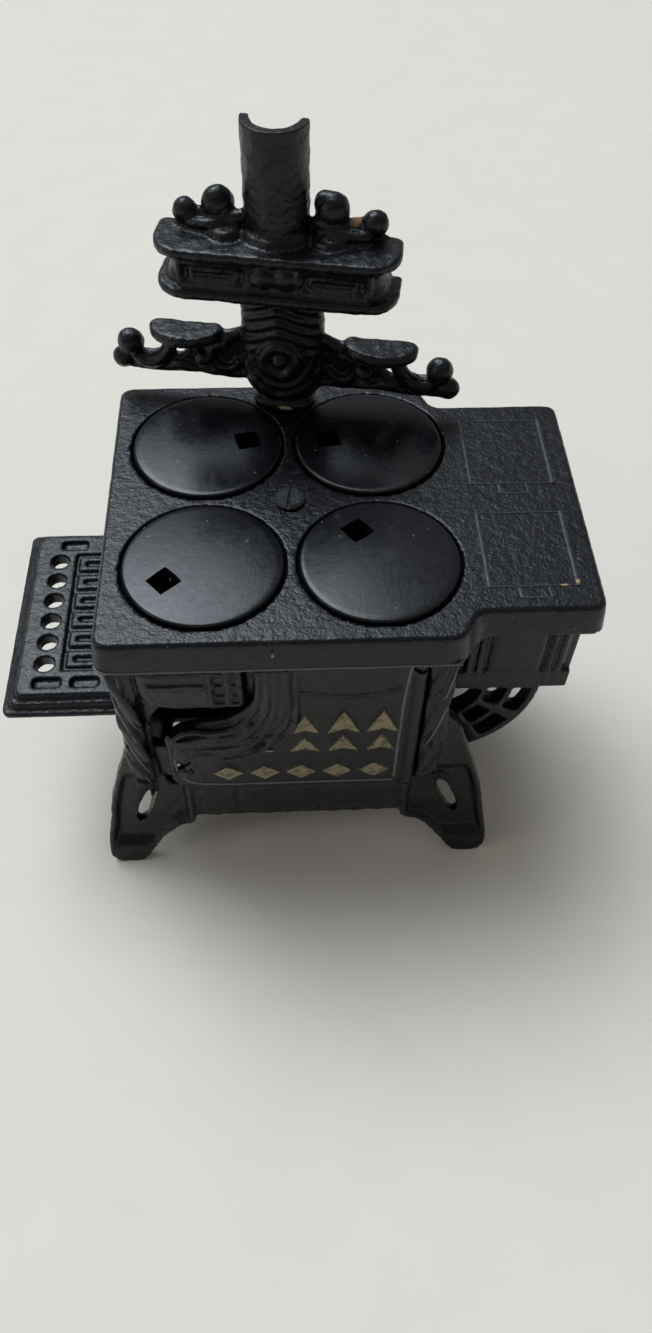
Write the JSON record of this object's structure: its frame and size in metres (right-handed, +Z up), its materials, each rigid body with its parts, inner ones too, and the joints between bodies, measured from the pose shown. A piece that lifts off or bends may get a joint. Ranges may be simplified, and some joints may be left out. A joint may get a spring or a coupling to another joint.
{
  "type": "cast iron toy stove",
  "caption": "Small play cooking range of thin iron castings, with lift-out round lids, a swinging oven door, a hung side shelf and a lift-off flue with a warming closet.",
  "frame": {"origin": "on the ground under the middle of the whole stove's box, the stack and the side shelf included", "axes": "+Z up, -Y towards the viewer of the oven door, +X towards the reservoir side"},
  "size_m": [0.1204, 0.0798, 0.1396],
  "materials": {
    "cast_iron_black": "old black paint over cast iron, half gloss, with worn edges",
    "steel_dark": "dark worn steel"
  },
  "bodies": {
    "stove_body": {"top_plate": "cast_iron_black", "through_bolt": "steel_dark", "bolt_nut": "steel_dark", "front_panel": "cast_iron_black", "back_panel": "cast_iron_black", "left_side_panel": "cast_iron_black", "right_side_panel": "cast_iron_black", "base_plate": "cast_iron_black", "door_hinge_pin": "steel_dark", "reservoir": "cast_iron_black", "reservoir_bracket_front": "cast_iron_black", "reservoir_bracket_back": "cast_iron_black"},
    "front_left_lid": {"lid_front_left": "cast_iron_black"},
    "front_right_lid": {"lid_front_right": "cast_iron_black"},
    "back_left_lid": {"lid_back_left": "cast_iron_black"},
    "back_right_lid": {"lid_back_right": "cast_iron_black"},
    "oven_door": {"oven_door": "cast_iron_black", "door_knob": "steel_dark"},
    "side_shelf": {"side_shelf": "cast_iron_black"},
    "stack": {"stack": "cast_iron_black"}
  },
  "joints": [
    {"name": "front_left_lid_lift", "type": "slide", "parent": "stove_body", "child": "front_left_lid", "axis": [0, 0, 1], "range_m": [0, 0.008]},
    {"name": "front_right_lid_lift", "type": "slide", "parent": "stove_body", "child": "front_right_lid", "axis": [0, 0, 1], "range_m": [0, 0.008]},
    {"name": "back_left_lid_lift", "type": "slide", "parent": "stove_body", "child": "back_left_lid", "axis": [0, 0, 1], "range_m": [0, 0.003]},
    {"name": "back_right_lid_lift", "type": "slide", "parent": "stove_body", "child": "back_right_lid", "axis": [0, 0, 1], "range_m": [0, 0.003]},
    {"name": "oven_door_hinge", "type": "hinge", "parent": "stove_body", "child": "oven_door", "pos_m": [0.0247, -0.03603, 0.05], "axis": [0, 0, 1], "range_deg": [0, 100]},
    {"name": "side_shelf_lift", "type": "slide", "parent": "stove_body", "child": "side_shelf", "axis": [0, 0, 1], "range_m": [0, 0.0032]},
    {"name": "stack_lift", "type": "slide", "parent": "stove_body", "child": "stack", "axis": [0, 0, 1], "range_m": [0, 0.004]}
  ]
}
